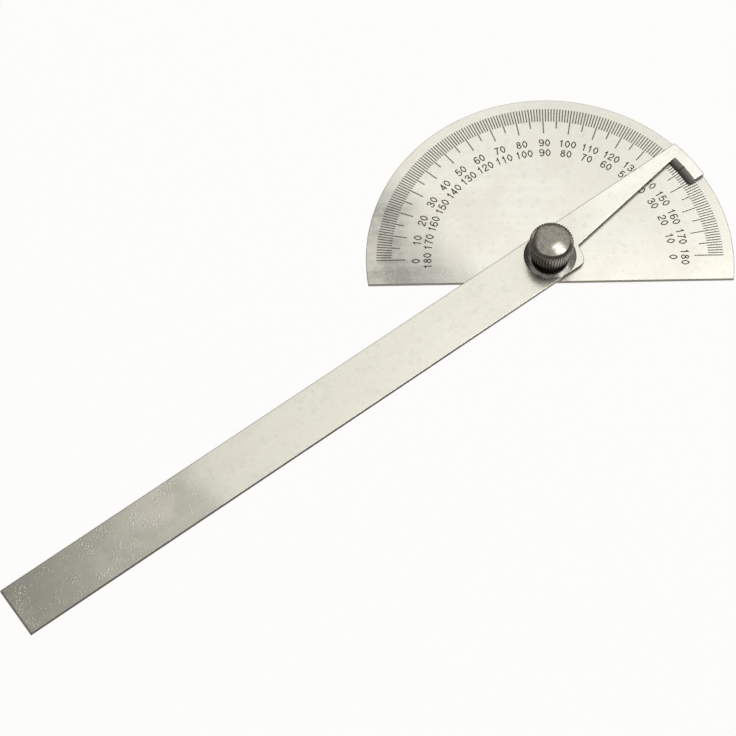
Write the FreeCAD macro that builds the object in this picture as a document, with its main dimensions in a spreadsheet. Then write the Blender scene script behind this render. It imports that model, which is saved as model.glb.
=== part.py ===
import FreeCAD, Part
import math
import os

import Sketcher

# Bevel protractor: a semicircular head plate with a 0 to 180 degree scale, and a blade that swings on a
# stud in the head and is clamped by a knurled nut on a plain washer.
#
# Frame: millimetres, +Z up, with the tool lying on its back. The origin is on the pivot axis, in the
# head's back face. +X runs along the scale's base line, and +Y points to the 90 degree mark.

doc = FreeCAD.newDocument("bevel_protractor")
sheet = doc.addObject("Spreadsheet::Sheet", "Sizes")

sizes = {
    # head plate
    "head_radius": 43.5,
    "head_thickness": 1.0,
    "base_drop": 6.4,
    "edge_break": 0.08,
    # scale, cut into the head's front face; its ticks run inwards from one circle inside the rim
    "scale_margin": 2.5,
    "degree_tick_length": 3.5,
    "five_tick_length": 5.4,
    "ten_tick_length": 6.8,
    "tick_width": 0.22,
    "tick_depth": 0.05,
    # blade
    "blade_width": 12.6,
    "blade_thickness": 1.0,
    "blade_reach": 150.0,
    "blade_angle": 35.5,
    "blade_end_roll": 0.35,
    "running_gap": 0.05,
    # reading notch in the blade's right side, and the foot beyond it
    "notch_start": 5.85,
    "notch_corner_along": 7.1,
    "notch_corner_side": 1.75,
    "notch_shoulder_radius": 2.3,
    "notch_corner_radius": 0.4,
    "reading_edge_slope": 8.5,
    "foot_depth": 4.55,
    "foot_land": 0.2,
    "foot_bevel_run": 1.9,
    "foot_bevel_rounding": 0.5,
    "foot_side": 4.4,
    "foot_corner_radius": 0.6,
    "index_width": 0.22,
    "index_depth": 0.05,
    # pivot stud, staked flush into the head from the back
    "shoulder_diameter": 5.0,
    "shoulder_recess": 0.1,
    "pivot_clearance": 0.05,
    "stud_head_diameter": 8.0,
    "countersink_depth": 0.75,
    "thread_diameter": 4.0,
    "thread_clearance": 0.05,
    "thread_end_chamfer": 0.4,
    "stud_end_clearance": 1.2,
    # clamp washer
    "washer_diameter": 12.5,
    "washer_thickness": 0.5,
    "washer_clearance": 0.1,
    "washer_edge_chamfer": 0.12,
    # lock nut
    "nut_height": 7.65,
    "nut_diameter": 10.4,
    "nut_neck_diameter": 8.0,
    "nut_neck_height": 2.3,
    "nut_flat_diameter": 8.3,
    "nut_crown_height": 1.0,
    "nut_crown_radius": 0.4,
    "nut_underside_chamfer": 0.2,
    "nut_top_wall": 1.6,
    "knurl_count": 46,
    "knurl_depth": 0.3,
    "knurl_width": 0.6,
    # radii that follow from the head's rim
    "scale_radius": "=head_radius - scale_margin",
    "foot_radius": "=head_radius - foot_depth",
}
for row, (alias, value) in enumerate(sizes.items(), start=1):
    sheet.set(f"A{row}", alias)
    sheet.set(f"B{row}", str(value))
    sheet.setAlias(f"B{row}", alias)
doc.recompute()

origin = FreeCAD.Vector(0, 0, 0)
up = FreeCAD.Vector(0, 0, 1)
overrun = 1.0  # how far a cutting profile runs past the metal it cuts
same_place = 1e-4  # two points closer than this are one corner

# Heights of the stacked pieces above the head's back face.
blade_underside = "Sizes.head_thickness + Sizes.running_gap"
washer_underside = f"{blade_underside} + Sizes.blade_thickness"
nut_underside = f"{washer_underside} + Sizes.washer_thickness"


def size(alias):
    return float(sheet.get(alias))


def add_body(name):
    body = doc.addObject("PartDesign::Body", name)
    body.Label = name
    return body


def add_sketch(body, role, name):
    sketch = body.newObject("Sketcher::SketchObject", name)
    plane = next(f for f in body.Origin.OriginFeatures if f.Role == role)
    sketch.AttachmentSupport = [(plane, "")]
    sketch.MapMode = "FlatFace"
    return sketch


def bind(sketch, kind, where, formula):
    # A dimension of the sketch that follows a formula in the sheet's sizes.
    value = sketch.evalExpression(formula)
    start = math.radians(value) if kind == "Angle" else float(value)
    index = sketch.addConstraint(Sketcher.Constraint(kind, *where, start))
    sketch.setExpression(f"Constraints[{index}]", formula)


def join(sketch, edge, edge_end, other, other_end):
    sketch.addConstraint(Sketcher.Constraint("Coincident", edge, edge_end, other, other_end))


def place_start(sketch, edge, across, along):
    bind(sketch, "DistanceX", (-1, 1, edge, 1), across)
    bind(sketch, "DistanceY", (-1, 1, edge, 1), along)


def add_lines(sketch, corners, closed):
    # Straight edges from corner to corner. Each corner is a pair of formulas, across and along.
    points = [FreeCAD.Vector(*[float(sketch.evalExpression(f)) for f in corner], 0) for corner in corners]
    ends = points[1:] + points[:1] if closed else points[1:]
    edges = sketch.addGeometry([Part.LineSegment(start, end) for start, end in zip(points, ends)])
    for edge, after in zip(edges, edges[1:] + edges[:1] if closed else edges[1:]):
        join(sketch, edge, 2, after, 1)
    for edge, corner in zip(edges, corners):
        place_start(sketch, edge, *corner)
    return edges


def add_arc(sketch, radius, start, end):
    # An arc about the pivot, from one angle to another in radians.
    circle = Part.Circle(origin, up, float(sketch.evalExpression(radius)))
    edge = sketch.addGeometry(Part.ArcOfCircle(circle, start, end))
    join(sketch, edge, 3, -1, 1)
    bind(sketch, "Radius", (edge,), radius)
    return edge


def add_circle(sketch, diameter):
    edge = sketch.addGeometry(Part.Circle(origin, up, float(sketch.evalExpression(diameter)) / 2))
    join(sketch, edge, 3, -1, 1)
    bind(sketch, "Diameter", (edge,), diameter)


def add_feature(body, kind, name, profile, **settings):
    feature = body.newObject(f"PartDesign::{kind}", name)
    feature.Profile = profile
    for key, value in settings.items():
        if isinstance(value, str) and "Sizes." in value:
            feature.setExpression(key, value)
        else:
            setattr(feature, key, value)
    profile.Visibility = False
    return feature


def turn_section(body, kind, name, section):
    # A half section turned right round the pivot axis.
    add_feature(body, kind, name, section, ReferenceAxis=(section, ["V_Axis"]), Angle=360.0)


def pattern_about_pivot(body, name, feature, angle, count):
    # Copies of a feature turned about the pivot axis, the first and last an angle apart.
    pattern = body.newObject("PartDesign::PolarPattern", name)
    pattern.Originals = [feature]
    pattern.Axis = (feature.Profile[0], ["N_Axis"])
    pattern.Angle = angle
    if isinstance(count, str):
        pattern.setExpression("Occurrences", count)
    else:
        pattern.Occurrences = count
    body.Tip = pattern


def edges_where(feature, test):
    # The names of the edges whose two ends, and whose middle, all pass a test.
    names = []
    for number, edge in enumerate(feature.Shape.Edges, start=1):
        middle = edge.valueAt((edge.FirstParameter + edge.LastParameter) / 2)
        if all(test(place) for place in [*(v.Point for v in edge.Vertexes), middle]):
            names.append(f"Edge{number}")
    if not names:
        raise ValueError(f"{feature.Name} has no such edge")
    return names


def near(value, wanted):
    return abs(value - wanted) < same_place


def dress(body, kind, name, test, setting, formula):
    # A fillet or chamfer on those edges of the piece, as it is so far, that pass a test.
    doc.recompute()
    base = body.Tip
    feature = body.newObject(f"PartDesign::{kind}", name)
    feature.Base = (base, edges_where(base, test))
    feature.setExpression(setting, formula)
    doc.recompute()


def round_corner(body, name, x, y, radius):
    # Rounds the upright edge of a plate that stands at one place.
    dress(body, "Fillet", name, lambda p: near(p.x, x) and near(p.y, y), "Radius", radius)


def make_head_plate():
    body = add_body("head_plate")
    outline = add_sketch(body, "XY_Plane", "head_outline")
    radius = size("head_radius")
    drop = size("base_drop")
    dip = math.asin(drop / radius)
    half = radius * math.cos(dip)
    rim = add_arc(outline, "Sizes.head_radius", -dip, math.pi + dip)
    base_edge = outline.addGeometry(
        Part.LineSegment(FreeCAD.Vector(-half, -drop, 0), FreeCAD.Vector(half, -drop, 0))
    )
    join(outline, base_edge, 1, rim, 2)
    join(outline, base_edge, 2, rim, 1)
    outline.addConstraint(Sketcher.Constraint("Horizontal", base_edge))
    bind(outline, "DistanceY", (-1, 1, base_edge, 1), "-Sizes.base_drop")
    add_feature(body, "Pad", "head_pad", outline, Length="Sizes.head_thickness")

    # countersunk hole that the stud is staked into
    hole = add_sketch(body, "XZ_Plane", "stud_hole_profile")
    add_lines(hole, stud_seat_corners("Sizes.head_thickness"), closed=True)
    turn_section(body, "Groove", "stud_hole", hole)

    thickness = size("head_thickness")

    def on_outer_edge(place):
        on_face = near(place.z, 0) or near(place.z, thickness)
        return on_face and (near(place.y, -drop) or near(math.hypot(place.x, place.y), radius))

    dress(body, "Chamfer", "head_edge_break", on_outer_edge, "Size", "Sizes.edge_break")

    # scale: a long tick at every ten degrees, a middling one at every odd five, and short ones between
    add_ticks(body, "ten", "Sizes.ten_tick_length", [0], 10)
    add_ticks(body, "five", "Sizes.five_tick_length", [5], 10)
    add_ticks(body, "degree", "Sizes.degree_tick_length", [1, 2, 3, 4], 5)
    return body


def add_ticks(body, name, length, angles, step):
    # Shallow grooves along rays at the given angles, repeated every so many degrees up to 180.
    outlines = add_sketch(body, "XY_Plane", f"{name}_tick_outlines")
    outlines.setExpression("AttachmentOffset.Base.z", "Sizes.head_thickness")
    half = "Sizes.tick_width / 2"
    outer = "Sizes.scale_radius"
    inner = f"{outer} - {length}"
    corners = [(inner, f"-{half}"), (outer, f"-{half}"), (outer, half), (inner, half)]
    for angle in angles:
        add_lines(outlines, [turned(across, along, angle) for across, along in corners], closed=True)
    cut = add_feature(body, "Pocket", f"{name}_tick", outlines, Length="Sizes.tick_depth")
    count = (180 - max(angles)) // step + 1
    pattern_about_pivot(body, f"{name}_ticks", cut, step * (count - 1), count)


def turned(across, along, degrees):
    # The formulas of a place after a turn about the pivot.
    return (
        f"({across}) * cos({degrees} deg) - ({along}) * sin({degrees} deg)",
        f"({across}) * sin({degrees} deg) + ({along}) * cos({degrees} deg)",
    )


def stud_seat_corners(top):
    # Half section, radius and height, of the stud's flush head and its shoulder up to a height.
    shoulder = "Sizes.shoulder_diameter / 2"
    return [
        ("0", "0"),
        ("Sizes.stud_head_diameter / 2", "0"),
        (shoulder, "Sizes.countersink_depth"),
        (shoulder, top),
        ("0", top),
    ]


def make_pivot_stud():
    body = add_body("pivot_stud")
    section = add_sketch(body, "XZ_Plane", "stud_section")
    thread = "Sizes.thread_diameter / 2"
    end = f"{nut_underside} + Sizes.nut_height - Sizes.nut_top_wall - Sizes.stud_end_clearance"
    shoulder_top = f"{washer_underside} - Sizes.shoulder_recess"
    corners = stud_seat_corners(shoulder_top)[:-1] + [
        (thread, shoulder_top),
        (thread, f"{end} - Sizes.thread_end_chamfer"),
        (f"{thread} - Sizes.thread_end_chamfer", end),
        ("0", end),
    ]
    add_lines(section, corners, closed=True)
    turn_section(body, "Revolution", "stud_turning", section)
    return body


def make_arm_blade():
    # The blade is drawn along its own length, with its tip at +X, and turned to its angle as a whole.
    body = add_body("arm_blade")
    body.setExpression("Placement.Base.z", blade_underside)
    body.Placement.Rotation.Axis = up
    body.setExpression("Placement.Rotation.Angle", "Sizes.blade_angle")
    half = size("blade_width") / 2
    reach = size("blade_reach")
    tip = size("head_radius")
    spread = math.asin(half / tip)
    tip_along = tip * math.cos(spread)

    outline = add_sketch(body, "XY_Plane", "blade_outline")
    corners = [FreeCAD.Vector(tip_along, half, 0), FreeCAD.Vector(-reach, half, 0)]
    corners += [FreeCAD.Vector(-reach, -half, 0), FreeCAD.Vector(tip_along, -half, 0)]
    edges = outline.addGeometry([Part.LineSegment(a, b) for a, b in zip(corners, corners[1:])])
    arc = add_arc(outline, "Sizes.head_radius", -spread, spread)
    for edge, after in zip(edges, edges[1:]):
        join(outline, edge, 2, after, 1)
    join(outline, edges[0], 1, arc, 2)
    join(outline, edges[2], 2, arc, 1)
    for edge, direction in zip(edges, ("Horizontal", "Vertical", "Horizontal")):
        outline.addConstraint(Sketcher.Constraint(direction, edge))
    place_start(outline, edges[1], "-Sizes.blade_reach", "Sizes.blade_width / 2")
    bind(outline, "DistanceY", (-1, 1, edges[2], 1), "-Sizes.blade_width / 2")
    add_feature(body, "Pad", "blade_pad", outline, Length="Sizes.blade_thickness")

    thickness = size("blade_thickness")

    def on_far_end(place):
        return near(place.x, -reach) and near(place.z, thickness)

    def on_long_edge(place):
        return near(abs(place.y), half) and (near(place.z, 0) or near(place.z, thickness))

    dress(body, "Fillet", "far_end_roll", on_far_end, "Radius", "Sizes.blade_end_roll")
    dress(body, "Chamfer", "blade_edge_break", on_long_edge, "Size", "Sizes.edge_break")
    meet = add_notch(body)
    add_foot_bevel(body, meet)

    bore = add_sketch(body, "XY_Plane", "pivot_bore_outline")
    add_circle(bore, "Sizes.shoulder_diameter + 2 * Sizes.pivot_clearance")
    add_feature(body, "Pocket", "pivot_bore", bore, Type="ThroughAll", Reversed=True)
    return body


def add_notch(body):
    # A leaning end wall, a sloping reading edge, the foot's arc and its side, closed outside the blade.
    notch = add_sketch(body, "XY_Plane", "notch_outline")
    outside = f"-Sizes.blade_width / 2 - {overrun}"
    beyond = f"Sizes.head_radius + {overrun}"
    run = [
        (beyond, "-Sizes.foot_side"),
        (beyond, outside),
        ("Sizes.notch_start", outside),
        ("Sizes.notch_start", "-Sizes.blade_width / 2"),
        ("Sizes.notch_corner_along", "-Sizes.notch_corner_side"),
    ]
    edges = add_lines(notch, run, closed=False)
    slope = math.radians(size("reading_edge_slope"))
    corner = FreeCAD.Vector(size("notch_corner_along"), -size("notch_corner_side"), 0)
    foot = size("foot_radius")
    meet = corner + FreeCAD.Vector(math.cos(slope), math.sin(slope), 0) * (foot - corner.x)
    dip = -math.asin(size("foot_side") / foot)
    reading_edge = notch.addGeometry(Part.LineSegment(corner, meet))
    arc = add_arc(notch, "Sizes.foot_radius", dip, math.atan2(meet.y, meet.x))
    side = notch.addGeometry(
        Part.LineSegment(
            FreeCAD.Vector(foot * math.cos(dip), -size("foot_side"), 0),
            FreeCAD.Vector(size("head_radius") + overrun, -size("foot_side"), 0),
        )
    )
    join(notch, edges[-1], 2, reading_edge, 1)
    bind(notch, "DistanceX", (-1, 1, reading_edge, 1), "Sizes.notch_corner_along")
    bind(notch, "DistanceY", (-1, 1, reading_edge, 1), "-Sizes.notch_corner_side")
    bind(notch, "Angle", (reading_edge,), "Sizes.reading_edge_slope")
    join(notch, reading_edge, 2, arc, 2)
    join(notch, arc, 1, side, 1)
    notch.addConstraint(Sketcher.Constraint("Horizontal", side))
    join(notch, side, 2, edges[0], 1)
    add_feature(body, "Pocket", "reading_notch", notch, Type="ThroughAll", Reversed=True)
    doc.recompute()
    arc_end = notch.getPoint(arc, 2)
    shoulder = (size("notch_start"), -size("blade_width") / 2)
    round_corner(body, "notch_shoulder", *shoulder, "Sizes.notch_shoulder_radius")
    round_corner(body, "notch_corner", corner.x, corner.y, "Sizes.notch_corner_radius")
    foot_corner = (foot * math.cos(dip), -size("foot_side"))
    round_corner(body, "foot_corner", *foot_corner, "Sizes.foot_corner_radius")
    return arc_end


def add_foot_bevel(body, meet):
    # The foot's inner side leans back from the scale as part of a cone about the pivot. It runs from the
    # reading edge round past the foot's side, and carries the index mark on the blade's centre line.
    bevel = add_sketch(body, "XZ_Plane", "foot_bevel_section")
    top = "Sizes.blade_thickness"
    top_radius = "Sizes.foot_radius + Sizes.foot_bevel_run"
    corners = [("Sizes.foot_radius", "Sizes.foot_land"), (top_radius, top), ("Sizes.foot_radius", top)]
    add_lines(bevel, corners, closed=True)
    cut = add_feature(body, "Groove", "foot_bevel", bevel, ReferenceAxis=(bevel, ["V_Axis"]))
    cut.Type = "TwoAngles"
    cut.Angle = math.degrees(math.atan2(meet.y, meet.x))
    cut.Angle2 = 2 * math.degrees(math.asin(size("foot_side") / size("foot_radius")))

    rim = size("foot_radius") + size("foot_bevel_run")
    height = size("blade_thickness")

    def on_bevel_top(place):
        return near(math.hypot(place.x, place.y), rim) and near(place.z, height)

    dress(body, "Fillet", "foot_bevel_top", on_bevel_top, "Radius", "Sizes.foot_bevel_rounding")

    # the mark's floor lies parallel to the cone, and its cutting profile runs out past the cone
    mark = add_sketch(body, "XZ_Plane", "index_section")
    lean = "atan(Sizes.foot_bevel_run / (Sizes.blade_thickness - Sizes.foot_land))"
    floor = f"Sizes.index_depth / cos({lean})"
    corners = [
        (f"Sizes.foot_radius - {overrun}", "Sizes.foot_land"),
        (f"Sizes.foot_radius + {floor}", "Sizes.foot_land"),
        (f"{top_radius} + {floor}", top),
        (f"{top_radius} - {overrun}", top),
    ]
    add_lines(mark, corners, closed=True)
    add_feature(body, "Pocket", "index_mark", mark, SideType="Symmetric", Length="Sizes.index_width")


def make_clamp_washer():
    body = add_body("clamp_washer")
    body.setExpression("Placement.Base.z", washer_underside)
    section = add_sketch(body, "XZ_Plane", "washer_section")
    bore = "Sizes.thread_diameter / 2 + Sizes.washer_clearance"
    rim = "Sizes.washer_diameter / 2"
    top = "Sizes.washer_thickness"
    edge = "Sizes.washer_edge_chamfer"
    corners = [
        (bore, "0"),
        (f"{rim} - {edge}", "0"),
        (rim, edge),
        (rim, f"{top} - {edge}"),
        (f"{rim} - {edge}", top),
        (bore, top),
    ]
    add_lines(section, corners, closed=True)
    turn_section(body, "Revolution", "washer_turning", section)
    return body


def make_lock_nut():
    # Closed-top thumb nut: a plain neck, a knurled band over it and a coned crown, with a blind bore.
    body = add_body("lock_nut")
    body.setExpression("Placement.Base.z", nut_underside)
    section = add_sketch(body, "XZ_Plane", "nut_section")
    bore = "Sizes.thread_diameter / 2 + Sizes.thread_clearance"
    neck = "Sizes.nut_neck_diameter / 2"
    rim = "Sizes.nut_diameter / 2"
    edge = "Sizes.nut_underside_chamfer"
    top = "Sizes.nut_height"
    bore_top = "Sizes.nut_height - Sizes.nut_top_wall"
    corners = [
        (bore, "0"),
        (f"{neck} - {edge}", "0"),
        (neck, edge),
        (neck, "Sizes.nut_neck_height"),
        (f"{rim} - {edge}", "Sizes.nut_neck_height"),
        (rim, f"Sizes.nut_neck_height + {edge}"),
        (rim, "Sizes.nut_height - Sizes.nut_crown_height"),
        ("Sizes.nut_flat_diameter / 2", top),
        ("0", top),
        ("0", bore_top),
        (bore, bore_top),
    ]
    add_lines(section, corners, closed=True)
    turn_section(body, "Revolution", "nut_turning", section)

    crown_foot = size("nut_height") - size("nut_crown_height")

    def on_crown_foot(place):
        return near(place.z, crown_foot)

    dress(body, "Fillet", "crown_edge", on_crown_foot, "Radius", "Sizes.nut_crown_radius")

    # straight knurl: V grooves right round the band, open onto the crown above and the neck below
    groove = add_sketch(body, "XY_Plane", "knurl_outline")
    groove.setExpression("AttachmentOffset.Base.z", "Sizes.nut_neck_height")
    flare = f"Sizes.knurl_width / 2 * (Sizes.knurl_depth + {overrun}) / Sizes.knurl_depth"
    corners = [
        (f"{rim} - Sizes.knurl_depth", "0"),
        (f"{rim} + {overrun}", f"-({flare})"),
        (f"{rim} + {overrun}", flare),
    ]
    add_lines(groove, corners, closed=True)
    cut = add_feature(body, "Pocket", "knurl_groove", groove, Type="ThroughAll", Reversed=True)
    pattern_about_pivot(body, "knurl", cut, 360.0, "Sizes.knurl_count")
    return body


pieces = [make_head_plate(), make_pivot_stud(), make_arm_blade(), make_clamp_washer(), make_lock_nut()]
doc.recompute()

for item in doc.Objects:
    if "Invalid" in item.State or "Error" in item.State:
        raise ValueError(f"{item.Name} failed: {item.State}")
for piece in pieces:
    if piece.Shape.isNull() or not piece.Shape.isValid() or len(piece.Shape.Solids) != 1:
        raise ValueError(f"{piece.Label} is not one valid solid")
cutting_kinds = ("PartDesign::Pocket", "PartDesign::Groove")
for cutter in (item for item in doc.Objects if item.TypeId in cutting_kinds):
    if cutter.Shape.Volume >= cutter.BaseFeature.Shape.Volume:
        raise ValueError(f"{cutter.Name} cuts nothing")

os.makedirs("parts", exist_ok=True)
for piece in pieces:
    piece.Shape.exportStep(f"parts/{piece.Label}.step")
    print(piece.Label, f"{piece.Shape.Volume:.3f} mm3", len(piece.Shape.Faces), "faces")
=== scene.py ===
import math

import bpy
import numpy as np
from mathutils import Matrix, Vector


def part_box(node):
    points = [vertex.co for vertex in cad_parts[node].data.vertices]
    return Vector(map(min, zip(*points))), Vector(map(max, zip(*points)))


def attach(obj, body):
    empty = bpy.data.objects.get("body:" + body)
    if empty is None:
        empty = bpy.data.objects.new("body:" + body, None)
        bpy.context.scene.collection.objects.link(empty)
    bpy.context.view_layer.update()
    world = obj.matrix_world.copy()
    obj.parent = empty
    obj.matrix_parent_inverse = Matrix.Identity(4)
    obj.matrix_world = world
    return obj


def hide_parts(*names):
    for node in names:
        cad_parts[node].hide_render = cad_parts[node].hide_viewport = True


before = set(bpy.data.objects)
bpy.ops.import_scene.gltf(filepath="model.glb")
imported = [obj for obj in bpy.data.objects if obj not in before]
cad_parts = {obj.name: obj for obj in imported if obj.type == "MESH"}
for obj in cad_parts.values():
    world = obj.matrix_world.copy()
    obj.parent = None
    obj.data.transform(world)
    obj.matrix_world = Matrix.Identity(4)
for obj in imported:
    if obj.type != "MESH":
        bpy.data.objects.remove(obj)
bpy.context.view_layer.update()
scene = bpy.context.scene
mm = 0.001

# Z is the pivot axis, X runs along the scale's base line and Y points to the 90 degree mark.
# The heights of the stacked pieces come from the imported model.
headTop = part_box("head_plate")[1].z
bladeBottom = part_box("arm_blade")[0].z
washerBottom, washerTop = (corner.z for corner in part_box("clamp_washer"))
nutBottom, nutTop = (corner.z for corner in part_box("lock_nut"))
bladeAngle = math.radians(35.5)
print("frame loaded")


def newPiece(name, verts, faces, material, body, smooth=True):
    # a mesh piece that moves with one body of the tool
    mesh = bpy.data.meshes.new(name)
    mesh.from_pydata(np.asarray(verts).tolist(), [], [list(face) for face in faces])
    mesh.validate()
    mesh.polygons.foreach_set("use_smooth", np.full(len(mesh.polygons), smooth))
    mesh.materials.append(material)
    piece = bpy.data.objects.new(name, mesh)
    scene.collection.objects.link(piece)
    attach(piece, body)
    return piece


def wrapQuads(rows, columns, rowsClosed):
    # quads of a grid whose columns close on themselves, and whose rows may
    count = rows if rowsClosed else rows - 1
    row, column = np.meshgrid(np.arange(count), np.arange(columns), indexing="ij")
    nextRow, nextColumn = (row + 1) % rows, (column + 1) % columns
    corners = [row * columns + column, row * columns + nextColumn]
    corners += [nextRow * columns + nextColumn, nextRow * columns + column]
    return np.stack(corners, axis=-1).reshape(-1, 4)


def roundedProfile(corners, radii, steps=6):
    # a polyline whose inner corners become arcs: an arc leaves each side at radius / tan(half the angle
    # between the sides), and its centre lies on the bisector at radius / sin(half that angle)
    corners = np.array(corners, float)
    points = [corners[:1]]
    for before, corner, after, radius in zip(corners, corners[1:], corners[2:], radii):
        back = (before - corner) / np.linalg.norm(before - corner)
        ahead = (after - corner) / np.linalg.norm(after - corner)
        half = 0.5 * math.acos(np.clip(back @ ahead, -1, 1))
        centre = corner + (back + ahead) / np.linalg.norm(back + ahead) * radius / math.sin(half)
        start = corner + back * radius / math.tan(half) - centre
        end = corner + ahead * radius / math.tan(half) - centre
        share = np.linspace(0, 1, steps)[:, None]
        spoke = start * (1 - share) + end * share
        points.append(centre + spoke / np.linalg.norm(spoke, axis=1)[:, None] * radius)
    points.append(corners[-1:])
    return np.concatenate(points)


def turnedSolid(profile, columns, radiusLimit=None):
    # the surface (r cos a, r sin a, z) of a half section that starts and ends on the axis. The radius is
    # held within a limit that depends on the angle, and a fan to a point on the axis closes each end.
    angle = np.linspace(0, 2 * np.pi, columns, endpoint=False)
    ring = profile[1:-1]
    radius = np.repeat(ring[:, :1], columns, axis=1)
    if radiusLimit is not None:
        radius = np.minimum(radius, radiusLimit(angle)[None])
    height = np.repeat(ring[:, 1:], columns, axis=1)
    grid = np.stack([radius * np.cos(angle), radius * np.sin(angle), height], axis=-1).reshape(-1, 3)
    first, last = len(grid), len(grid) + 1
    poles = [[0, 0, profile[0, 1]], [0, 0, profile[-1, 1]]]
    column = np.arange(columns)
    after = (column + 1) % columns
    top = (len(ring) - 1) * columns
    lowFan = np.stack([np.full(columns, first), after, column], axis=1)
    highFan = np.stack([np.full(columns, last), top + column, top + after], axis=1)
    faces = wrapQuads(len(ring), columns, False).tolist() + lowFan.tolist() + highFan.tolist()
    return np.concatenate([grid, poles]), faces


def nodeMaker(material):
    # adds shader nodes in one call each: numbers set the sockets, and sockets are linked to them
    tree = material.node_tree

    def make(kind, inputs=None, **settings):
        node = tree.nodes.new("ShaderNode" + kind)
        for key, value in settings.items():
            setattr(node, key, value)
        for key, value in (inputs or {}).items():
            if isinstance(value, bpy.types.NodeSocket):
                tree.links.new(value, node.inputs[key])
            else:
                node.inputs[key].default_value = value
        return node

    return make


def newMaterial(name):
    material = bpy.data.materials.new(name)
    material.use_nodes = True
    return material, nodeMaker(material), material.node_tree.nodes["Principled BSDF"]


def mapped(make, value, band, toLow=0.0, toHigh=1.0):
    # a smooth step from toLow to toHigh, while the value crosses the band
    inputs = {"Value": value, "From Min": band[0], "From Max": band[1], "To Min": toLow, "To Max": toHigh}
    return make("MapRange", inputs, interpolation_type="SMOOTHSTEP").outputs[0]


def mixed(make, share, first, second):
    # share 0 gives the first colour and share 1 the second
    colours = [c if isinstance(c, bpy.types.NodeSocket) else (*c, 1) for c in (first, second)]
    inputs = {"Fac": share, "Color1": colours[0], "Color2": colours[1]}
    return make("MixRGB", inputs).outputs[0]


def maths(make, kind, *values):
    return make("Math", dict(enumerate(values)), operation=kind).outputs[0]


def noise(make, place, scale, detail=4.0, roughness=0.6):
    inputs = {"Vector": place, "Scale": scale, "Detail": detail, "Roughness": roughness}
    return make("TexNoise", inputs).outputs[0]


# Patterns of the rolled sheet. A stretch holds repeats per metre along, across and through the sheet, a
# scale holds repeats per metre, and a band holds where a pattern starts to show and where it shows fully.
sheetPattern = {
    "grainStretch": (70, 3600, 800),
    "streakStretch": (12, 420, 100),
    "streakBand": (0.35, 0.65),
    "cloudScale": 75.0,
    "cloudBand": (0.3, 0.7),
    "mottleScale": 700.0,
    "mottleBand": (0.3, 0.5),
    "patchScale": 55.0,
    "patchBand": (0.48, 0.62),
    "stainScale": 230.0,
    "stainBand": (0.66, 0.74),
    "scratchStretch": (18, 1300, 90),
    "scratchBand": (0.72, 0.76),
    "scratchShare": 0.22,
    "scratchDepth": 0.6,
    "speckBand": (0.1, 0.36),
    "clusterBand": (0.47, 0.68),
    "speckColour": (1.0, 0.99, 0.93),
    "specksWhereBright": 0.25,
    "slopeBand": (0.93, 0.97),
    "edgeBand": (0.3, 0.93),
    "edgeRoughness": 0.6,
    # tones of the shear-cut edges, darkened partly as painted shade
    "edgeDark": (0.05, 0.045, 0.037),
    "edgePale": (0.2, 0.185, 0.155),
    "glossier": 0.03,
    "duller": 0.04,
    "reliefHeight": 0.03 * mm,
}


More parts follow.
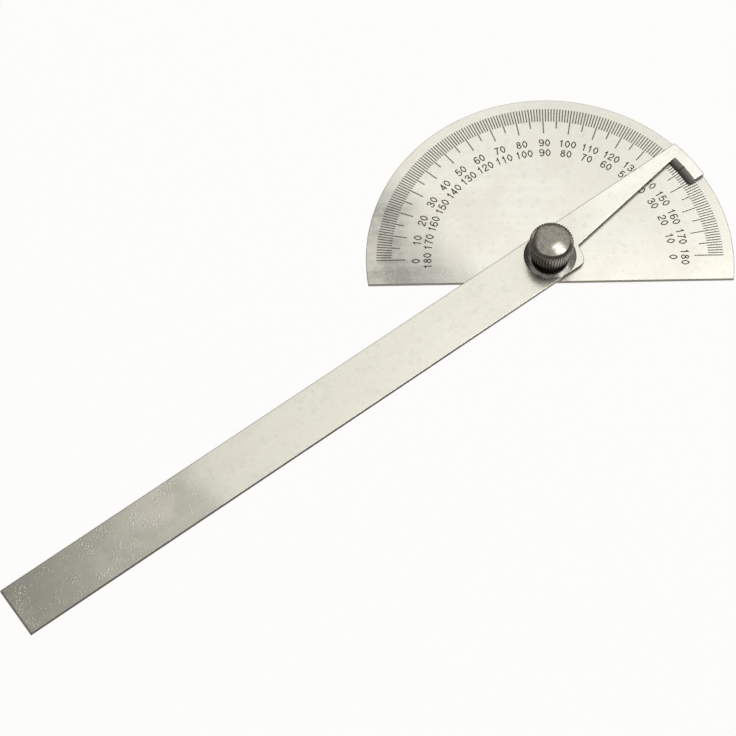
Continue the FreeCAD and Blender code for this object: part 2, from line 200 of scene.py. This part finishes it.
def sheetSteel(name, look):
    # rolled stainless sheet: fine lines along the rolling direction, painted shade on one end with a cloudy
    # border, painted light on the other end, light scratches, clusters of bright specks, painted shade on
    # the slopes, and dark shear-cut edges whose darkness is partly painted shade
    pattern = sheetPattern
    material, make, shader = newMaterial(name)
    place = make("TexCoord").outputs["Object"]
    turned = make("Mapping", {"Vector": place, "Rotation": (0, 0, -look["grainAngle"])}).outputs[0]
    grainPlace = make("Mapping", {"Vector": turned, "Scale": pattern["grainStretch"]}).outputs[0]
    grain = noise(make, grainPlace, 1.0)
    streakPlace = make("Mapping", {"Vector": turned, "Scale": pattern["streakStretch"]}).outputs[0]
    streak = noise(make, streakPlace, 1.0)
    cloud = noise(make, turned, pattern["cloudScale"], 5.0)
    mottle = noise(make, place, pattern["mottleScale"], 4.0, 0.7)

    # painted shade on one end, with a cloudy border, the plain middle, and painted light on the end beyond
    # it:
    # a painted highlight on the arm, painted shade on the head
    paintedLightPlace = make("Mapping", {"Vector": place, "Rotation": (0, 0, -look["paintedLightAngle"])}).outputs[0]
    along = make("SeparateXYZ", {"Vector": paintedLightPlace}).outputs[0]
    broken = maths(make, "MULTIPLY_ADD", cloud, look["paintedShadeBreak"], along)
    bright = mapped(make, broken, look["paintedShadeReach"])
    colour = mixed(make, bright, look["paintedShadeColour"], look["colour"])
    # painted light beyond the middle: a painted highlight on the arm, painted shade on the head
    colour = mixed(make, mapped(make, along, look["farPaintedLightReach"]), colour, look["farPaintedLightColour"])
    streakShare = mapped(make, streak, pattern["streakBand"], 0.0, look["streaks"])
    colour = mixed(make, streakShare, colour, look["streakColour"])
    mottleShare = mapped(make, mottle, pattern["mottleBand"], look["mottling"], 0.0)
    colour = mixed(make, mottleShare, colour, look["mottleColour"])

    # broad warm patches, stains and light scratches
    patch = noise(make, place, pattern["patchScale"], 4.0)
    patchShare = mapped(make, patch, pattern["patchBand"], 0.0, look["patches"])
    colour = mixed(make, patchShare, colour, look["patchColour"])
    stain = noise(make, place, pattern["stainScale"], 6.0, 0.75)
    stainShare = mapped(make, stain, pattern["stainBand"], 0.0, look["stains"])
    colour = mixed(make, stainShare, colour, look["stainColour"])
    scratchTurn = {"Rotation": (0, 0, look["scratchAngle"]), "Scale": pattern["scratchStretch"]}
    scratchPlace = make("Mapping", {"Vector": place, **scratchTurn}).outputs[0]
    scratch = mapped(make, noise(make, scratchPlace, 1.0, 2.0), pattern["scratchBand"])
    scratchShare = maths(make, "MULTIPLY", scratch, pattern["scratchShare"])
    colour = mixed(make, scratchShare, colour, look["stainColour"])

    # clusters of bright specks, fewer outside the painted shade of the end
    cells = make("TexVoronoi", {"Vector": place, "Scale": look["speckScale"]}, voronoi_dimensions="2D")
    clusterNoise = noise(make, turned, look["clusterScale"], 4.0, 0.7)
    cluster = mapped(make, clusterNoise, pattern["clusterBand"])
    specks = mapped(make, cells.outputs["Distance"], pattern["speckBand"], 1.0, 0.0)
    specks = maths(make, "MULTIPLY", specks, cluster)
    thinned = mapped(make, bright, (0.0, 1.0), 1.0, pattern["specksWhereBright"])
    specks = maths(make, "MULTIPLY", specks, thinned)
    speckShare = maths(make, "MULTIPLY", specks, look["specks"])
    colour = mixed(make, speckShare, colour, pattern["speckColour"])

    # painted shade on the slopes, where the surface leans a little: darker towards the pivot
    normal = make("NewGeometry").outputs["Normal"]
    lean = maths(make, "ABSOLUTE", make("SeparateXYZ", {"Vector": normal}).outputs[2])
    radius = make("VectorMath", {0: place}, operation="LENGTH").outputs["Value"]
    slopeShade = mixed(make, mapped(make, radius, look["slopeRadii"]), look["slopeShadeInner"], look["slopeShadeOuter"])
    colour = mixed(make, mapped(make, lean, pattern["slopeBand"], 1.0, 0.0), colour, slopeShade)

    # shear-cut edges, where the surface faces sideways: darker and rougher than the sheet, their dark tone
    # partly painted shade; they fade to a second colour along the sheet
    softEdge = make("Bevel", {"Radius": look["edgeRounding"]}, samples=6).outputs[0]
    upness = maths(make, "ABSOLUTE", make("SeparateXYZ", {"Vector": softEdge}).outputs[2])
    flat = mapped(make, upness, pattern["edgeBand"])
    shearedAndShadedEdge = mixed(make, mottle, pattern["edgeDark"], pattern["edgePale"])
    edge = mixed(make, mapped(make, along, look["edgeFade"]), shearedAndShadedEdge, look["edgeColour"])
    material.node_tree.links.new(mixed(make, flat, edge, colour), shader.inputs["Base Color"])
    smoothest = look["roughness"] - pattern["glossier"]
    roughest = look["roughness"] + pattern["duller"]
    gloss = mapped(make, cloud, pattern["cloudBand"], smoothest, roughest)
    rough = make("Mix", {"Factor": flat, "A": pattern["edgeRoughness"], "B": gloss}).outputs[0]
    material.node_tree.links.new(rough, shader.inputs["Roughness"])
    shader.inputs["Metallic"].default_value = 1.0

    # relief: rolling lines, specks and scratches
    relief = maths(make, "MULTIPLY_ADD", grain, look["grainDepth"], specks)
    relief = maths(make, "MULTIPLY_ADD", scratch, -pattern["scratchDepth"], relief)
    settings = {"Height": relief, "Strength": look["relief"], "Normal": softEdge}
    bump = make("Bump", {**settings, "Distance": pattern["reliefHeight"]})
    material.node_tree.links.new(bump.outputs[0], shader.inputs["Normal"])
    return material


turnedPattern = {
    "blotchBand": (0.32, 0.68),
    "ringBand": (0.35, 0.65),
    "ringShare": 0.25,
    "ringDepth": 0.8,
    "glossBand": (0.3, 0.7),
    "glossier": 0.04,
    "duller": 0.07,
    "reliefHeight": 0.01 * mm,
}


def turnedMetal(name, look):
    # lathe-turned metal: fine rings about the pivot axis under a mottled plating
    pattern = turnedPattern
    material, make, shader = newMaterial(name)
    place = make("TexCoord").outputs["Object"]
    flattened = make("Mapping", {"Vector": place, "Scale": (1, 1, 0)}).outputs[0]
    radius = make("VectorMath", {0: flattened}, operation="LENGTH").outputs["Value"]
    height = make("SeparateXYZ", {"Vector": place}).outputs[2]
    ringPlace = make("CombineXYZ", {"X": radius, "Y": height}).outputs[0]
    rings = noise(make, ringPlace, look["ringScale"], 3.0)
    blotch = noise(make, place, look["blotchScale"], 5.0, 0.65)
    tone = mixed(make, mapped(make, blotch, pattern["blotchBand"]), look["dark"], look["light"])
    ringShare = mapped(make, rings, pattern["ringBand"], 0.0, pattern["ringShare"])
    tone = mixed(make, ringShare, tone, look["dark"])
    material.node_tree.links.new(tone, shader.inputs["Base Color"])
    roughest = look["roughness"] + pattern["duller"]
    smoothest = look["roughness"] - pattern["glossier"]
    rough = mapped(make, blotch, pattern["glossBand"], roughest, smoothest)
    material.node_tree.links.new(rough, shader.inputs["Roughness"])
    shader.inputs["Metallic"].default_value = 1.0
    relief = maths(make, "MULTIPLY_ADD", rings, pattern["ringDepth"], blotch)
    settings = {"Height": relief, "Strength": look["relief"], "Distance": pattern["reliefHeight"]}
    material.node_tree.links.new(make("Bump", settings).outputs[0], shader.inputs["Normal"])
    return material


inkPattern = {"wearScale": 1500.0, "wearBand": (0.3, 0.75), "roughness": 0.65}


def inkMaterial(name, dark, pale):
    # etching ink, a little worn and uneven
    material, make, shader = newMaterial(name)
    place = make("TexCoord").outputs["Object"]
    wear = noise(make, place, inkPattern["wearScale"], 3.0)
    tone = mixed(make, mapped(make, wear, inkPattern["wearBand"]), dark, pale)
    material.node_tree.links.new(tone, shader.inputs["Base Color"])
    shader.inputs["Roughness"].default_value = inkPattern["roughness"]
    return material


headLook = {
    "colour": (0.875, 0.857, 0.762),
    # painted shade on the head's lower-left end
    "paintedShadeColour": (0.35, 0.35, 0.315),
    # painted shade on the head's upper-right end
    "farPaintedLightColour": (0.79, 0.772, 0.69),
    "farPaintedLightReach": (0.0, 0.03),
    "grainAngle": 0.0,
    "paintedLightAngle": math.radians(30),
    "paintedShadeReach": (-0.025, -0.006),
    "paintedShadeBreak": 0.014,
    "streaks": 0.35,
    "streakColour": (0.77, 0.755, 0.68),
    "mottling": 0.4,
    "mottleColour": (0.66, 0.62, 0.54),
    "stains": 0.4,
    "stainColour": (0.45, 0.42, 0.35),
    "scratchAngle": 0.55,
    "roughness": 0.25,
    "patches": 0.5,
    "patchColour": (0.80, 0.755, 0.655),
    # painted shade on the head's leaning faces
    "slopeRadii": (0.0, 0.04),
    "slopeShadeInner": (0.5, 0.48, 0.42),
    "slopeShadeOuter": (0.6, 0.58, 0.5),
    "edgeFade": (-0.2, -0.1),
    "edgeColour": (0.34, 0.32, 0.28),
    "edgeRounding": 0.2 * mm,
    "speckScale": 1100.0,
    "clusterScale": 180.0,
    "specks": 0.25,
    "grainDepth": 0.35,
    "relief": 0.3,
}
bladeLook = {
    "colour": (0.795, 0.776, 0.672),
    # painted shade on the arm's far lower-left end
    "paintedShadeColour": (0.545, 0.529, 0.449),
    # a painted highlight on the arm from the pivot to its tip
    "farPaintedLightColour": (0.95, 0.937, 0.85),
    "farPaintedLightReach": (0.0, 0.03),
    "grainAngle": bladeAngle,
    "paintedLightAngle": bladeAngle,
    "paintedShadeReach": (-0.095, -0.083),
    "paintedShadeBreak": 0.02,
    "streaks": 0.2,
    "streakColour": (0.70, 0.69, 0.61),
    "mottling": 0.25,
    "mottleColour": (0.50, 0.49, 0.42),
    "stains": 0.15,
    "stainColour": (0.5, 0.48, 0.4),
    "scratchAngle": -0.3,
    "roughness": 0.24,
    "patches": 0.3,
    "patchColour": (0.80, 0.76, 0.66),
    # painted shade on the foot's sloping lip, darker towards the pivot
    "slopeRadii": (38.7 * mm, 41.0 * mm),
    "slopeShadeInner": (0.08, 0.075, 0.06),
    "slopeShadeOuter": (0.66, 0.64, 0.55),
    "edgeFade": (-0.05, 0.0),
    "edgeColour": (0.4, 0.385, 0.335),
    "edgeRounding": 0.3 * mm,
    "speckScale": 1500.0,
    "clusterScale": 330.0,
    "specks": 0.6,
    "grainDepth": 0.3,
    "relief": 0.45,
}
nutLook = {
    "dark": (0.23, 0.21, 0.175),
    "light": (0.37, 0.345, 0.30),
    "ringScale": 4200.0,
    "blotchScale": 1100.0,
    "roughness": 0.15,
    "relief": 0.07,
}
washerLook = {
    "dark": (0.115, 0.109, 0.097),
    "light": (0.215, 0.207, 0.188),
    "ringScale": 4000.0,
    "blotchScale": 700.0,
    "roughness": 0.14,
    "relief": 0.12,
}
studLook = {
    "dark": (0.42, 0.41, 0.38),
    "light": (0.62, 0.60, 0.57),
    "ringScale": 3000.0,
    "blotchScale": 800.0,
    "roughness": 0.25,
    "relief": 0.3,
}
headSteel = sheetSteel("headSteel", headLook)
bladeSteel = sheetSteel("bladeSteel", bladeLook)
nutMetal = turnedMetal("nutPlating", nutLook)
washerMetal = turnedMetal("washerPlating", washerLook)
studMetal = turnedMetal("studSteel", studLook)
tickInk = inkMaterial("tickInk", (0.16, 0.145, 0.12), (0.31, 0.285, 0.24))
numberInk = inkMaterial("numberInk", (0.08, 0.073, 0.06), (0.17, 0.155, 0.13))
indexInk = inkMaterial("indexInk", (0.012, 0.011, 0.01), (0.03, 0.028, 0.025))
print("materials made")

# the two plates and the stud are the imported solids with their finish
nodeFinishes = {"head_plate": headSteel, "arm_blade": bladeSteel, "pivot_stud": studMetal}
for nodeName, material in nodeFinishes.items():
    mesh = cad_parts[nodeName].data
    mesh.materials.clear()
    mesh.materials.append(material)

inkFill = {
    "width": 0.22 * mm,
    "depth": 0.05 * mm,
    "belowTop": 0.006 * mm,
    "dish": 0.012 * mm,
    "acrossSteps": 5,
}


def inkBars(name, rays, inner, outer, ink, body):
    # The fill of straight grooves on rays from the pivot. inner and outer give each groove's ends as radius
    # and surface height. Across a groove, with u from -1 to 1, the fill's top is a shallow dish at
    # surface - belowTop - dish * (1 - u * u), and its underside lies on the groove's floor.
    u = np.linspace(-1, 1, inkFill["acrossSteps"])
    topDrop = inkFill["belowTop"] + inkFill["dish"] * (1 - u**2)
    sideways = np.concatenate([u, u[::-1]]) * inkFill["width"] / 2
    drop = np.concatenate([topDrop, np.full(len(u), inkFill["depth"])])
    count = len(sideways)
    direction = np.stack([np.cos(rays), np.sin(rays)], axis=1)
    side = np.stack([-np.sin(rays), np.cos(rays)], axis=1)
    ends = []
    for radius, surface in (inner, outer):
        flat = direction[:, None] * radius[:, None, None] + side[:, None] * sideways[None, :, None]
        height = surface[:, None, None] - drop[None, :, None]
        ends.append(np.concatenate([flat, height], axis=2))
    verts = np.concatenate(ends, axis=1).reshape(-1, 3)
    loop = np.arange(count)
    after = (loop + 1) % count
    walls = np.stack([loop + count, after + count, after, loop], axis=1)
    strip = np.arange(len(u) - 1)
    cap = np.stack([strip, strip + 1, count - 2 - strip, count - 1 - strip], axis=1)
    one = np.concatenate([walls, cap, cap[:, ::-1] + count])
    faces = (one[None] + (np.arange(len(rays)) * 2 * count)[:, None, None]).reshape(-1, 4)
    return newPiece(name, verts, faces, ink, body, smooth=False)


scale = {
    "outer": 41.0 * mm,
    "degreeInner": 37.5 * mm,
    "fiveInner": 35.6 * mm,
    "tenInner": 34.2 * mm,
}
degrees = np.arange(181)
shortInner = np.where(degrees % 5 == 0, scale["fiveInner"], scale["degreeInner"])
tickInner = np.where(degrees % 10 == 0, scale["tenInner"], shortInner)
tickTops = np.full(len(degrees), headTop)
inkBars(
    "scaleTickInk",
    np.radians(degrees),
    (tickInner, tickTops),
    (np.full(len(degrees), scale["outer"]), tickTops),
    tickInk,
    "head",
)

foot = {"innerRadius": 38.98 * mm, "outerRadius": 40.70 * mm, "landTop": 0.2 * mm, "slope": 0.8 / 1.9}
footRise = (foot["outerRadius"] - foot["innerRadius"]) * foot["slope"]
landHeight = bladeBottom + foot["landTop"]
inkBars(
    "indexInk",
    np.array([bladeAngle]),
    (np.array([foot["innerRadius"]]), np.array([landHeight])),
    (np.array([foot["outerRadius"]]), np.array([landHeight + footRise])),
    indexInk,
    "arm",
)
print("scale and index inked")

numeral = {
    "height": 2.0 * mm,
    "stroke": 0.30 * mm,
    "advance": 0.74,  # from one digit to the next, as a share of the height
    "digitWidth": 0.65,  # as a share of the height
    "topShare": 0.8,  # the width of a stroke's flat top, as a share of the stroke
    "thickness": 0.010 * mm,
    "sunk": 0.004 * mm,
    "outerRing": 31.82 * mm,
    "innerRing": 29.07 * mm,
    "ringCentre": (0.12 * mm, -0.35 * mm),  # the numbers were printed a little off the scale's centre
    "pointsPerSpan": 7,
}

# Centre lines of the digits, in a box 0.65 wide and 1 high. A curve runs smoothly through its points, and
# a point given twice is a sharp corner. True marks a curve that closes on itself.
digitStrokes = {
    "0": [([(0.325, 0.93), (0.57, 0.5), (0.325, 0.07), (0.08, 0.5)], True)],
    "1": [
        (
            [(0.13, 0.71), (0.13, 0.71), (0.29, 0.77), (0.37, 0.93), (0.37, 0.93)]
            + [(0.37, 0.0), (0.37, 0.0)],
            False,
        )
    ],
    "2": [
        (
            [(0.09, 0.66), (0.09, 0.66), (0.15, 0.86), (0.33, 0.93), (0.51, 0.86), (0.55, 0.68)]
            + [(0.42, 0.48), (0.16, 0.27), (0.085, 0.07), (0.085, 0.07), (0.58, 0.07), (0.58, 0.07)],
            False,
        )
    ],
    "3": [
        (
            [(0.10, 0.70), (0.10, 0.70), (0.16, 0.88), (0.32, 0.93), (0.49, 0.87), (0.53, 0.71)]
            + [(0.46, 0.57), (0.29, 0.53), (0.29, 0.53), (0.50, 0.46), (0.57, 0.28), (0.49, 0.12)]
            + [(0.32, 0.07), (0.14, 0.13), (0.08, 0.31), (0.08, 0.31)],
            False,
        )
    ],
    "4": [
        (
            [(0.44, 0.0), (0.44, 0.0), (0.44, 0.93), (0.44, 0.93), (0.07, 0.31), (0.07, 0.31)]
            + [(0.60, 0.31), (0.60, 0.31)],
            False,
        )
    ],
    "5": [
        (
            [(0.53, 0.93), (0.53, 0.93), (0.17, 0.93), (0.17, 0.93), (0.11, 0.49), (0.11, 0.49)]
            + [(0.30, 0.61), (0.50, 0.54), (0.57, 0.34), (0.50, 0.14), (0.31, 0.07), (0.14, 0.12)]
            + [(0.08, 0.26), (0.08, 0.26)],
            False,
        )
    ],
    "6": [
        (
            [(0.54, 0.78), (0.54, 0.78), (0.47, 0.90), (0.33, 0.93), (0.15, 0.83), (0.08, 0.50)]
            + [(0.13, 0.17), (0.33, 0.07), (0.52, 0.14), (0.57, 0.31), (0.51, 0.48), (0.34, 0.55)]
            + [(0.17, 0.49), (0.09, 0.36), (0.09, 0.36)],
            False,
        )
    ],
    "7": [
        (
            [(0.08, 0.92), (0.08, 0.92), (0.58, 0.92), (0.58, 0.92), (0.37, 0.58)]
            + [(0.25, 0.0), (0.25, 0.0)],
            False,
        )
    ],
    "8": [
        ([(0.325, 0.93), (0.52, 0.73), (0.325, 0.54), (0.13, 0.73)], True),
        ([(0.325, 0.54), (0.57, 0.30), (0.325, 0.07), (0.08, 0.30)], True),
    ],
}


def smoothPath(points, closed):
    # a smooth curve through the points. Between a and b, with t from 0 to 1, it is
    # (2ttt - 3tt + 1) a + (3tt - 2ttt) b + (ttt - 2tt + t) (b - before) / 2 + (ttt - tt) (after - a) / 2
    points = np.array(points, float)
    if closed:
        before, start, end, after = (np.roll(points, shift, axis=0) for shift in (1, 0, -1, -2))
    else:
        before, start = points[:-1][np.r_[0, 0 : len(points) - 2]], points[:-1]
        end, after = points[1:], points[1:][np.r_[1 : len(points) - 1, len(points) - 2]]
    spans = np.linalg.norm(end - start, axis=1) > 0
    before, start, end, after = before[spans], start[spans], end[spans], after[spans]
    t = np.linspace(0, 1, numeral["pointsPerSpan"], endpoint=False)[None, :, None]
    leave, arrive = (end - before)[:, None] / 2, (after - start)[:, None] / 2
    start, end = start[:, None], end[:, None]
    curve = (2 * t**3 - 3 * t**2 + 1) * start + (3 * t**2 - 2 * t**3) * end
    curve = (curve + (t**3 - 2 * t**2 + t) * leave + (t**3 - t**2) * arrive).reshape(-1, 2)
    return curve if closed else np.concatenate([curve, points[-1:]])


def strokeBand(path, closed):
    # A band carried along the path. Each section is a flat top with sloping sides, set across the mean of
    # the two directions that meet at its point and widened by 1 / cos(half the turn), at most twice.
    toNext = np.roll(path, -1, axis=0) - path
    toNext /= np.linalg.norm(toNext, axis=1)[:, None]
    fromLast = np.roll(toNext, 1, axis=0)
    if not closed:
        toNext[-1] = fromLast[-1]
        fromLast[0] = toNext[0]
    mean = toNext + fromLast
    mean /= np.maximum(np.linalg.norm(mean, axis=1), 1e-6)[:, None]
    widening = 1 / np.maximum(np.sum(mean * toNext, axis=1), 0.5)
    across = np.stack([-mean[:, 1], mean[:, 0]], axis=1) * widening[:, None]
    half = numeral["stroke"] / numeral["height"] / 2
    top = half * numeral["topShare"]
    offsets = np.array([half, top, -top, -half])
    flat = path[:, None] + across[:, None] * offsets[None, :, None]
    height = np.array([-numeral["sunk"], numeral["thickness"], numeral["thickness"], -numeral["sunk"]])
    heights = np.broadcast_to(height[None, :, None], (len(path), 4, 1))
    verts = np.concatenate([flat * numeral["height"], heights], axis=2)
    faces = wrapQuads(len(path), 4, closed)
    if not closed:
        last = (len(path) - 1) * 4
        faces = np.concatenate([faces, [[3, 2, 1, 0]], [[last, last + 1, last + 2, last + 3]]])
    return verts.reshape(-1, 3), faces


def digitMesh(digit):
    verts, faces, used = [], [], 0
    for points, closed in digitStrokes[digit]:
        band, quads = strokeBand(smoothPath(points, closed), closed)
        verts.append(band)
        faces.append(quads + used)
        used += len(band)
    return np.concatenate(verts), np.concatenate(faces)


digitMeshes = {digit: digitMesh(digit) for digit in digitStrokes}
# a nine is a six turned half round
nineVerts, nineFaces = digitMeshes["6"]
turnedCorner = np.array([numeral["digitWidth"], 1.0, 0.0]) * numeral["height"]
digitMeshes["9"] = (turnedCorner + nineVerts * [-1, -1, 1], nineFaces)


def numberRing(name, radius, valueAt):
    # numbers every ten degrees, centred on their rays, with their tops away from the pivot
    verts, faces, used = [], [], 0
    for angle in range(0, 181, 10):
        text = str(valueAt(angle))
        outward = np.array([math.cos(math.radians(angle)), math.sin(math.radians(angle))])
        reading = np.array([outward[1], -outward[0]])
        width = (numeral["advance"] * (len(text) - 1) + numeral["digitWidth"]) * numeral["height"]
        for position, digit in enumerate(text):
            shape, quads = digitMeshes[digit]
            right = shape[:, :1] + position * numeral["advance"] * numeral["height"] - width / 2
            upwards = shape[:, 1:2] - numeral["height"] / 2 + radius
            flat = right * reading + upwards * outward + numeral["ringCentre"]
            verts.append(np.concatenate([flat, shape[:, 2:] + headTop], axis=1))
            faces.append(quads + used)
            used += len(shape)
    verts, faces = np.concatenate(verts), np.concatenate(faces)
    return newPiece(name, verts, faces, numberInk, "head", smooth=False)


numberRing("outerNumbers", numeral["outerRing"], lambda angle: 180 - angle)
numberRing("innerNumbers", numeral["innerRing"], lambda angle: angle)
print("numbers set")

nut = {
    "boreRadius": 2.05,
    "boreTop": 6.05,
    "neckRadius": 3.98,
    "neckTop": 2.3,
    "bandRadius": 5.2,
    "bandTop": 6.25,
    "crownRadius": 4.87,
    "crownFoot": 6.55,
    "topRadius": 4.3,
    "dome": 0.52,  # how far the top falls from its middle to its rim
    "knurlCount": 46,
    "knurlDepth": 0.3,
    "columnsPerRidge": 12,
    "ridgeShare": 0.22,  # of half a pitch, at full radius
    "flankShare": 0.66,  # of half a pitch, falling to the root
    "rounding": (0.1, 0.15, 0.2, 0.12, 0.22, 0.12, 0.1, 0.16),  # of the section's corners, from the bore
    "topStart": 0.93,  # where the rings of the domed top start, as a share of its radius
    "topRings": 13,
}


def knurlRadius(angle):
    # ridges of a straight knurl: full radius over the middle of each pitch, then a smooth fall to the root
    fromRidge = np.abs((angle * nut["knurlCount"] / (2 * np.pi)) % 1 - 0.5) * 2
    fall = np.clip((fromRidge - nut["ridgeShare"]) / nut["flankShare"], 0, 1)
    return (nut["bandRadius"] - nut["knurlDepth"] * fall**2 * (3 - 2 * fall)) * mm


def lockNut():
    # neck, knurled band, coned crown and a domed top, z = top - dome * (r / topRadius)^2
    top = (nutTop - nutBottom) / mm
    rim = top - nut["dome"]
    corners = [
        (0, nut["boreTop"]),
        (nut["boreRadius"], nut["boreTop"]),
        (nut["boreRadius"], 0),
        (nut["neckRadius"], 0),
        (nut["neckRadius"], nut["neckTop"]),
        (nut["bandRadius"], nut["neckTop"]),
        (nut["bandRadius"], nut["bandTop"]),
        (nut["crownRadius"], nut["crownFoot"]),
        (nut["topRadius"], rim),
    ]
    topRings = np.linspace(nut["topStart"], 0, nut["topRings"]) * nut["topRadius"]
    topHeights = top - nut["dome"] * (topRings / nut["topRadius"]) ** 2
    corners.append((topRings[0], topHeights[0]))
    sides = roundedProfile(corners, nut["rounding"])
    domedTop = np.stack([topRings, topHeights], axis=1)[1:]
    profile = np.concatenate([sides, domedTop]) * mm
    profile[:, 1] += nutBottom
    verts, faces = turnedSolid(profile, nut["knurlCount"] * nut["columnsPerRidge"], knurlRadius)
    piece = newPiece("knurledNut", verts, faces, nutMetal, "nut")
    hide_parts("lock_nut")
    return piece


washer = {
    "bore": 2.1,
    "rim": 6.24,
    "rimWall": 0.12,  # from the end of the domed top to the rim
    "crownStart": 3.6,
    "cup": 0.42,
    "fall": 1.7,
    "topSteps": 9,
    "rounding": (0.08, 0.05, 0.05, 0.06),
    "columns": 240,
}


def clampWasher():
    # A closed section turned about the pivot. Its underside is flat, and so is its top under the nut. From
    # there the top falls towards the rim as z = top - cup * (share of the way out)^fall.
    share = np.linspace(0, 1, washer["topSteps"])
    topRadius = washer["crownStart"] + (washer["rim"] - washer["rimWall"] - washer["crownStart"]) * share
    topHeight = washerTop / mm - washer["cup"] * share ** washer["fall"]
    low = washerBottom / mm
    corners = [(topRadius[-2], topHeight[-2]), (washer["rim"], topHeight[-1]), (washer["rim"], low)]
    corners += [(washer["bore"], low), (washer["bore"], washerTop / mm), (topRadius[0], topHeight[0])]
    around = roundedProfile(corners, washer["rounding"])[1:]
    section = np.concatenate([np.stack([topRadius, topHeight], axis=1)[1:-1], around]) * mm
    angle = np.linspace(0, 2 * np.pi, washer["columns"], endpoint=False)
    radius, height = section[:, :1], np.repeat(section[:, 1:], washer["columns"], axis=1)
    grid = np.stack([radius * np.cos(angle), radius * np.sin(angle), height], axis=-1).reshape(-1, 3)
    faces = wrapQuads(len(section), washer["columns"], True)[:, ::-1]
    piece = newPiece("platedWasher", grid, faces, washerMetal, "washer")
    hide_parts("clamp_washer")
    return piece


lockNut()
clampWasher()
print("nut and washer made")

# The floor takes shadows, and looks white to the camera and to mirrors. So does the space above it, but
# to the camera alone.
stage = {
    "halfSize": 3.0,
    "colour": (0.9, 0.9, 0.89, 1),
    "roughness": 0.9,
    "whiteShare": 0.97,
    "white": (1, 0.995, 0.985, 1),
    "skyLight": (0.205, 0.205, 0.2, 1),
    "skySeen": (0.97, 0.965, 0.955, 1),
}
floorMesh = bpy.data.meshes.new("floor")
floorCorners = np.array([(-1, -1, 0), (1, -1, 0), (1, 1, 0), (-1, 1, 0)]) * stage["halfSize"]
floorMesh.from_pydata(floorCorners.tolist(), [], [(0, 1, 2, 3)])
floor = bpy.data.objects.new("floor", floorMesh)
scene.collection.objects.link(floor)
floorMaterial, make, floorShader = newMaterial("paleFloor")
floorShader.inputs["Base Color"].default_value = stage["colour"]
floorShader.inputs["Roughness"].default_value = stage["roughness"]
rays = make("LightPath")
seen = maths(make, "ADD", rays.outputs["Is Camera Ray"], rays.outputs["Is Glossy Ray"])
seen = maths(make, "ADD", seen, rays.outputs["Is Transmission Ray"])
seen = maths(make, "MULTIPLY", maths(make, "MINIMUM", seen, 1.0), stage["whiteShare"])
white = make("Emission", {"Color": stage["white"], "Strength": 1.0}).outputs[0]
floorBlend = make("MixShader", {"Fac": seen, 1: floorShader.outputs[0], 2: white}).outputs[0]
floorOutput = floorMaterial.node_tree.nodes["Material Output"]
floorMaterial.node_tree.links.new(floorBlend, floorOutput.inputs["Surface"])
floorMesh.materials.append(floorMaterial)

world = bpy.data.worlds.new("studio")
world.use_nodes = True
scene.world = world
surroundings = world.node_tree.nodes["Background"]
worldMake = nodeMaker(world)
straight = worldMake("LightPath").outputs["Is Camera Ray"]
skyInputs = {"Fac": straight, "Color1": stage["skyLight"], "Color2": stage["skySeen"]}
skyColour = worldMake("MixRGB", skyInputs).outputs[0]
world.node_tree.links.new(skyColour, surroundings.inputs["Color"])

# the softbox is what the sheets mirror, and the key lamp is the bright patch on the nut's domed top
lamps = {
    "overheadSoftbox": {
        "place": (0.108, 0.36, 0.6),
        "aim": (0.108, 0.36, 0),
        "size": (0.604, 0.84),
        "power": 1.22,
    },
    "keyLamp": {
        "place": (0.21, 0.14, 0.75),
        "aim": (0.0, 0.0, 0),
        "size": (0.29, 0.2),
        "power": 0.7,
    },
}
for lampName, lamp in lamps.items():
    light = bpy.data.lights.new(lampName, "AREA")
    light.shape = "RECTANGLE"
    light.size, light.size_y = lamp["size"]
    light.energy = lamp["power"]
    lampObject = bpy.data.objects.new(lampName, light)
    lampObject.location = lamp["place"]
    beam = Vector(lamp["aim"]) - Vector(lamp["place"])
    lampObject.rotation_euler = beam.to_track_quat("-Z", "Y").to_euler()
    scene.collection.objects.link(lampObject)

viewpoint = {
    "place": (-40.815 * mm, -273.640 * mm, 513.565 * mm),
    "elevation": 64.4075,
    "azimuth": 0.5946,
    "roll": -1.4774,
    "lens": 120.043,
    "sensor": 36.0,
}
cameraData = bpy.data.cameras.new("camera")
cameraData.lens = viewpoint["lens"]
cameraData.sensor_width = viewpoint["sensor"]
cameraData.clip_start = 0.01
camera = bpy.data.objects.new("camera", cameraData)
aside = Matrix.Rotation(math.radians(viewpoint["azimuth"]), 4, "Z")
tilt = Matrix.Rotation(math.radians(90 - viewpoint["elevation"]), 4, "X")
roll = Matrix.Rotation(math.radians(viewpoint["roll"]), 4, "Z")
camera.matrix_world = Matrix.Translation(viewpoint["place"]) @ aside @ tilt @ roll
scene.collection.objects.link(camera)
scene.camera = camera
scene.view_settings.view_transform = "Standard"
print("floor, lamps and camera set")
